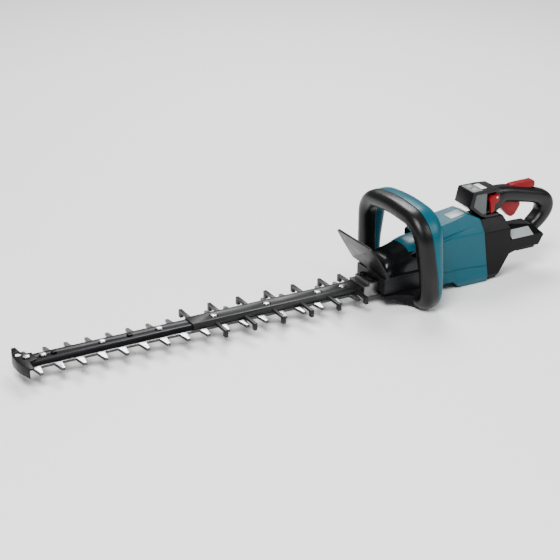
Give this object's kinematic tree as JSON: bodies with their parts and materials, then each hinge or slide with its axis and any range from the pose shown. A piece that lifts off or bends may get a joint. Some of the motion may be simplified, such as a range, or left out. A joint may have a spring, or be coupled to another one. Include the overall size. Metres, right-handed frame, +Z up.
{
  "type": "hedge trimmer",
  "caption": "Cordless double-sided hedge trimmer with a front loop handle, hand guard, swivelling rear handle, trigger and open battery bay.",
  "frame": {"origin": "in the base plane that the tool stands on, under the middle of the flat foot of the main housing", "axes": "+X along the blades towards the rear handle, +Z up, +Y to the tool's right seen from the rear handle"},
  "size_m": [1.0875, 0.2352, 0.1915],
  "materials": {
    "blade_steel": "ground steel with machining lines",
    "bar_dark": "dark anodised channel",
    "zinc": "bright zinc plate",
    "black_plastic": "fine spark texture",
    "guard_plastic": "fine satin texture",
    "grip_rubber": "soft satin elastomer",
    "teal_plastic": "satin moulded plastic",
    "red_plastic": "satin moulded plastic",
    "case_alloy": "black coated casting",
    "bracket_steel": "satin steel",
    "gear_steel": "hobbed and hardened",
    "stator_iron": "varnished laminations",
    "copper": "contact alloy",
    "board_green": "circuit board",
    "alloy_bare": "extruded alloy",
    "nylon_white": "fan nylon",
    "plate_pale": "blank pale plate",
    "key_grey": "grey keys",
    "bearing_steel": "polished bearing races"
  },
  "bodies": {
    "main_frame": {"guide_bar": "bar_dark", "blade_bolts": "zinc", "blade_nuts": "zinc", "bar_pads": "black_plastic", "blade_guard": "guard_plastic", "tip_bumper": "black_plastic", "blade_bracket": "bracket_steel", "bracket_bolts": "black_plastic", "gear_case": "case_alloy", "gear_cover": "case_alloy", "crank_bearings": "bearing_steel", "stator": "stator_iron", "motor_bearings": "bearing_steel", "motor_frame": "case_alloy", "motor_cover": "black_plastic", "housing_left": "teal_plastic", "housing_right": "teal_plastic", "swivel_tube": "bracket_steel", "swivel_clip": "bracket_steel", "base_skirt": "black_plastic", "handle_grip": "grip_rubber", "handle_back": "teal_plastic", "hand_guard": "guard_plastic", "key_peg": "black_plastic", "controller": "board_green", "controller_fins": "alloy_bare", "top_plate": "plate_pale", "housing_screws": "zinc"},
    "upper_blade": {"upper_blade": "blade_steel"},
    "lower_blade": {"lower_blade": "blade_steel"},
    "crank": {"crank_shaft": "gear_steel", "upper_cam": "gear_steel", "lower_cam": "gear_steel", "crank_gear": "gear_steel"},
    "motor_rotor": {"motor_shaft": "gear_steel", "rotor": "gear_steel", "pinion": "gear_steel", "motor_fan": "nylon_white"},
    "rear_handle": {"rear_base_left": "black_plastic", "rear_base_right": "black_plastic", "grip_left": "grip_rubber", "grip_right": "grip_rubber", "console": "black_plastic", "button_springs": "zinc", "button_board": "board_green", "status_lens": "plate_pale", "lever_pins": "zinc", "trigger_spring": "zinc", "thumb_spring": "zinc", "switch": "black_plastic", "battery_rails": "black_plastic", "terminal_block": "guard_plastic", "battery_contacts": "copper", "rating_plates": "plate_pale", "rear_screws": "zinc"},
    "power_button": {"power_button": "key_grey"},
    "mode_button": {"mode_button": "key_grey"},
    "release_lever": {"release_lever": "red_plastic"},
    "trigger": {"trigger": "red_plastic"},
    "thumb_lever": {"thumb_lever": "red_plastic"}
  },
  "joints": [
    {"name": "upper_blade_slide", "type": "slide", "parent": "main_frame", "child": "upper_blade", "axis": [1, 0, 0], "range_m": [-0.009, 0.009]},
    {"name": "lower_blade_slide", "type": "slide", "parent": "main_frame", "child": "lower_blade", "axis": [1, 0, 0], "range_m": [-0.009, 0.009]},
    {"name": "crank_spin", "type": "hinge", "parent": "main_frame", "child": "crank", "pos_m": [-0.15, 0, 0.04], "axis": [0, 0, 1], "continuous": true},
    {"name": "motor_spin", "type": "hinge", "parent": "main_frame", "child": "motor_rotor", "pos_m": [-0.114, 0, 0.06], "axis": [0, 0, 1], "continuous": true},
    {"name": "handle_swivel", "type": "hinge", "parent": "main_frame", "child": "rear_handle", "pos_m": [0.02245, 0, 0.069], "axis": [0.9878, 0, 0.1556], "range_deg": [-90, 90]},
    {"name": "power_button_press", "type": "slide", "parent": "rear_handle", "child": "power_button", "axis": [0, 0, -1], "range_m": [0, 0.0008], "stiffness_N_per_m": 400},
    {"name": "mode_button_press", "type": "slide", "parent": "rear_handle", "child": "mode_button", "axis": [0, 0, -1], "range_m": [0, 0.0008], "stiffness_N_per_m": 400},
    {"name": "release_lever_pull", "type": "hinge", "parent": "rear_handle", "child": "release_lever", "pos_m": [0.054, -0.024, 0.16], "axis": [0, -1, 0], "range_deg": [-15, 0], "stiffness_Nm_per_rad": 0.2},
    {"name": "trigger_pull", "type": "hinge", "parent": "rear_handle", "child": "trigger", "pos_m": [0.08, 0, 0.1425], "axis": [0, -1, 0], "range_deg": [0, 11], "stiffness_Nm_per_rad": 0.3, "deforming": ["trigger_spring"]},
    {"name": "thumb_lever_press", "type": "hinge", "parent": "rear_handle", "child": "thumb_lever", "pos_m": [0.101, 0, 0.161], "axis": [0, 1, 0], "range_deg": [0, 7], "stiffness_Nm_per_rad": 0.3, "deforming": ["thumb_spring"]}
  ],
  "couplings": [
    {"joint": "lower_blade_slide", "follows": "upper_blade_slide", "ratio": -1},
    {"joint": "motor_spin", "follows": "crank_spin", "ratio": -5}
  ]
}
